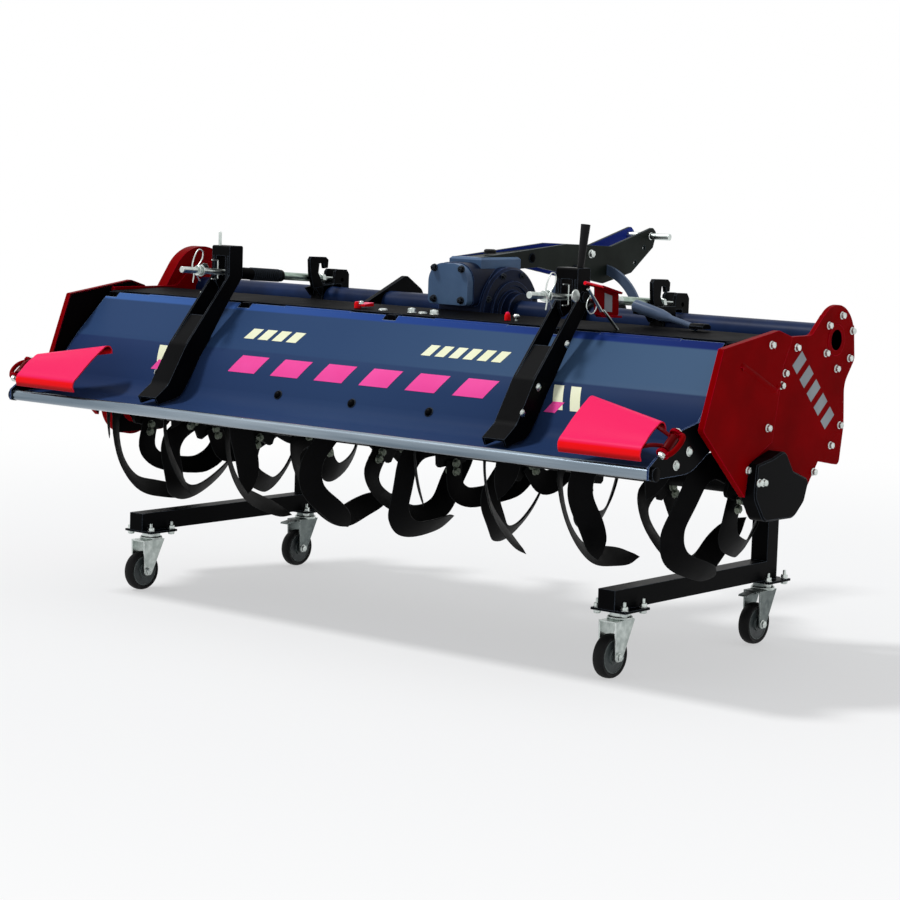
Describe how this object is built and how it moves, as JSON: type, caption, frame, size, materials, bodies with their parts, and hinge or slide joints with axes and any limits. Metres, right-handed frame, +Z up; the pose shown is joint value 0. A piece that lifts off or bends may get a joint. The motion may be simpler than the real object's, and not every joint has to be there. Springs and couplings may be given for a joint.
{
  "type": "rotary tiller",
  "caption": "Tractor-mounted rotary tiller with curved tines under a lifting rear cover, red end plates and folding levelling wings, parked on wheeled stands.",
  "frame": {"origin": "on the floor, under the middle of the overall box", "axes": "+X along the working width, to the right when seen from behind; +Y forward, towards the tractor; +Z up"},
  "size_m": [2.304, 1.5083, 1.0946],
  "materials": {
    "black_paint": "semi-gloss black enamel",
    "black_steel": "satin black dip paint",
    "navy_paint": "high-gloss navy enamel",
    "red_paint": "gloss red enamel",
    "grey_blue": "grey-blue enamel",
    "zinc": "bright zinc plating",
    "bright_steel": "polished stainless tube",
    "grip_black": "moulded grip",
    "tyre_black": "solid rubber tread on a black hub"
  },
  "bodies": {
    "frame": {"main_pipe": "black_paint", "gearbox": "black_paint", "gearbox_cover": "black_paint", "side_plate_right": "red_paint", "side_plate_left": "red_paint", "bearing_cover": "black_paint", "chain_case": "red_paint", "guard_right": "red_paint", "guard_left": "red_paint", "hitch_right": "black_paint", "hitch_left": "black_paint", "hood": "black_paint", "input_guard": "grey_blue", "mast": "black_paint", "link_pin": "zinc", "rod_right": "zinc", "rod_left": "zinc", "rod_bracket_right": "black_paint", "rod_bracket_left": "black_paint", "stay": "zinc", "stand_right": "black_paint", "stand_left": "black_paint", "lock_bracket": "red_paint"},
    "rotor": {"rotor": "black_steel"},
    "input": {"input_shaft": "zinc"},
    "cover": {"cover_panel": "navy_paint", "cover_bar": "bright_steel", "arm_left": "black_paint", "arm_right": "black_paint", "lock_lever": "grip_black", "wing_hinge_left": "red_paint", "wing_hinge_right": "red_paint"},
    "wing_left": {"wing_left": "red_paint"},
    "wing_right": {"wing_right": "red_paint"},
    "caster_front_left": {"fork_front_left": "zinc"},
    "wheel_front_left": {"wheel_front_left": "tyre_black"},
    "caster_front_right": {"fork_front_right": "zinc"},
    "wheel_front_right": {"wheel_front_right": "tyre_black"},
    "caster_rear_left": {"fork_rear_left": "zinc"},
    "wheel_rear_left": {"wheel_rear_left": "tyre_black"},
    "caster_rear_right": {"fork_rear_right": "zinc"},
    "wheel_rear_right": {"wheel_rear_right": "tyre_black"}
  },
  "joints": [
    {"name": "rotor_spin", "type": "hinge", "parent": "frame", "child": "rotor", "pos_m": [0.001, -0.26517, 0.496], "axis": [1, 0, 0], "continuous": true},
    {"name": "input_spin", "type": "hinge", "parent": "frame", "child": "input", "pos_m": [0.001, 0.24483, 0.8], "axis": [0, 1, 0], "continuous": true},
    {"name": "cover_lift", "type": "hinge", "parent": "frame", "child": "cover", "pos_m": [0.001, -0.38217, 0.822], "axis": [-1, 0, 0], "range_deg": [0, 35]},
    {"name": "wing_right_fold", "type": "hinge", "parent": "cover", "child": "wing_right", "pos_m": [1.107, -0.69617, 0.616], "axis": [0, 0.7757, 0.6311], "range_deg": [0, 175]},
    {"name": "wing_left_fold", "type": "hinge", "parent": "cover", "child": "wing_left", "pos_m": [-1.105, -0.69617, 0.616], "axis": [0, -0.7757, -0.6311], "range_deg": [0, 175]},
    {"name": "caster_front_left_swivel", "type": "hinge", "parent": "frame", "child": "caster_front_left", "pos_m": [-0.819, 0.18983, 0.16], "axis": [0, 0, 1], "continuous": true},
    {"name": "wheel_front_left_roll", "type": "hinge", "parent": "caster_front_left", "child": "wheel_front_left", "pos_m": [-0.819, 0.15383, 0.055], "axis": [1, 0, 0], "continuous": true},
    {"name": "caster_front_right_swivel", "type": "hinge", "parent": "frame", "child": "caster_front_right", "pos_m": [0.821, 0.18983, 0.16], "axis": [0, 0, 1], "continuous": true},
    {"name": "wheel_front_right_roll", "type": "hinge", "parent": "caster_front_right", "child": "wheel_front_right", "pos_m": [0.821, 0.15383, 0.055], "axis": [1, 0, 0], "continuous": true},
    {"name": "caster_rear_left_swivel", "type": "hinge", "parent": "frame", "child": "caster_rear_left", "pos_m": [-0.819, -0.45817, 0.16], "axis": [0, 0, 1], "continuous": true},
    {"name": "wheel_rear_left_roll", "type": "hinge", "parent": "caster_rear_left", "child": "wheel_rear_left", "pos_m": [-0.819, -0.49417, 0.055], "axis": [1, 0, 0], "continuous": true},
    {"name": "caster_rear_right_swivel", "type": "hinge", "parent": "frame", "child": "caster_rear_right", "pos_m": [0.821, -0.45817, 0.16], "axis": [0, 0, 1], "continuous": true},
    {"name": "wheel_rear_right_roll", "type": "hinge", "parent": "caster_rear_right", "child": "wheel_rear_right", "pos_m": [0.821, -0.49417, 0.055], "axis": [1, 0, 0], "continuous": true}
  ],
  "couplings": [
    {"joint": "input_spin", "follows": "rotor_spin", "ratio": 2.7}
  ]
}
